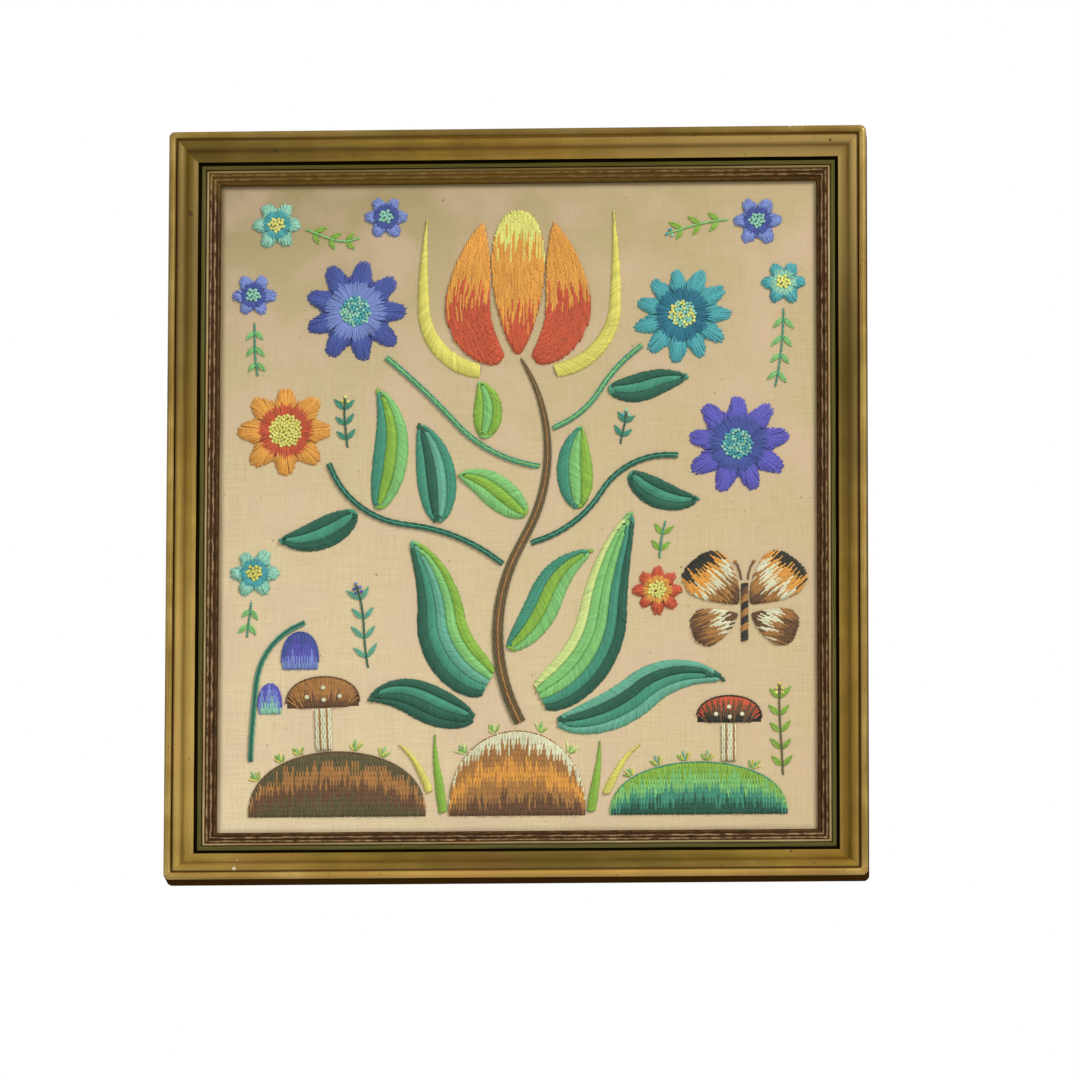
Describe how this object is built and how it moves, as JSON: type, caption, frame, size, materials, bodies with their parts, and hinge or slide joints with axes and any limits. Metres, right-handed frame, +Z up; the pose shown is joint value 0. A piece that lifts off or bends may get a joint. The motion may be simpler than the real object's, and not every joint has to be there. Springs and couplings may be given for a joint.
{
  "type": "framed crewel embroidery panel",
  "caption": "Near-square linen panel worked in raised crewel wool with a flowering branch, in a moulded antique gold wooden picture frame, to hang on a wall.",
  "frame": {"origin": "on the wall plane, at the middle of the top rail's back face, where the frame hangs", "axes": "+Z up, +X to the right as seen from the front, -Y out of the wall towards the viewer"},
  "size_m": [0.484, 0.0299, 0.526],
  "materials": {
    "gilt_wood": "antique gold leaf over wood, darkened in the hollows, with black and green lines, worn at the edges",
    "linen_cloth": "plain woven natural linen, matt, with slubs",
    "hardboard": "plain pressed board",
    "wool_dark_green": "laid crewel wool, matt",
    "wool_green": "laid crewel wool, matt",
    "wool_lime": "laid crewel wool, matt",
    "wool_yellow": "laid crewel wool, matt",
    "wool_blue": "laid crewel wool, matt",
    "wool_violet": "laid crewel wool, matt",
    "wool_turquoise": "laid crewel wool, matt",
    "wool_orange": "laid crewel wool, matt",
    "wool_rust": "laid crewel wool, matt",
    "wool_brown": "laid crewel wool, matt",
    "wool_tan": "laid crewel wool, matt",
    "wool_cream": "laid crewel wool, matt"
  },
  "bodies": {
    "root": {"rail_top": "gilt_wood", "rail_right": "gilt_wood", "rail_bottom": "gilt_wood", "rail_left": "gilt_wood", "linen": "linen_cloth", "backing_board": "hardboard", "branch_left": "wool_dark_green", "branch_right": "wool_dark_green", "leaf_foot_left": "wool_dark_green", "leaf_side_left": "wool_dark_green", "leaf_side_right": "wool_dark_green", "leaf_twig_right": "wool_dark_green", "twig_left": "wool_green", "twig_right": "wool_green", "leaf_foot_right": "wool_green", "leaf_mid_left": "wool_green", "leaf_low_right": "wool_green", "leaf_stem_left": "wool_green", "leaf_high_left": "wool_green", "stem_bell": "wool_green", "mound_right": "wool_green", "leaf_low_left": "wool_lime", "leaf_mid_right": "wool_lime", "leaf_stem_right": "wool_lime", "leaf_twig_left": "wool_lime", "grass_left": "wool_lime", "grass_right": "wool_lime", "blade_left": "wool_yellow", "blade_right": "wool_yellow", "grass_outer_left": "wool_yellow", "grass_outer_right": "wool_yellow", "daisy_left": "wool_blue", "floret_2": "wool_blue", "floret_3": "wool_blue", "floret_6": "wool_blue", "bell_lower": "wool_blue", "daisy_right": "wool_violet", "bell_upper": "wool_violet", "aster_right": "wool_turquoise", "floret_1": "wool_turquoise", "floret_4": "wool_turquoise", "floret_5": "wool_turquoise", "tulip_middle": "wool_orange", "zinnia_left": "wool_orange", "tulip_left": "wool_rust", "tulip_right": "wool_rust", "rosette_right": "wool_rust", "stem_main": "wool_brown", "wing_lower_right": "wool_brown", "wing_lower_left": "wool_brown", "cap_right": "wool_brown", "mound_left": "wool_brown", "moth_body": "wool_brown", "wing_upper_right": "wool_tan", "wing_upper_left": "wool_tan", "cap_left": "wool_tan", "mound_middle": "wool_tan", "stalk_left": "wool_cream", "stalk_right": "wool_cream"}
  },
  "joints": []
}
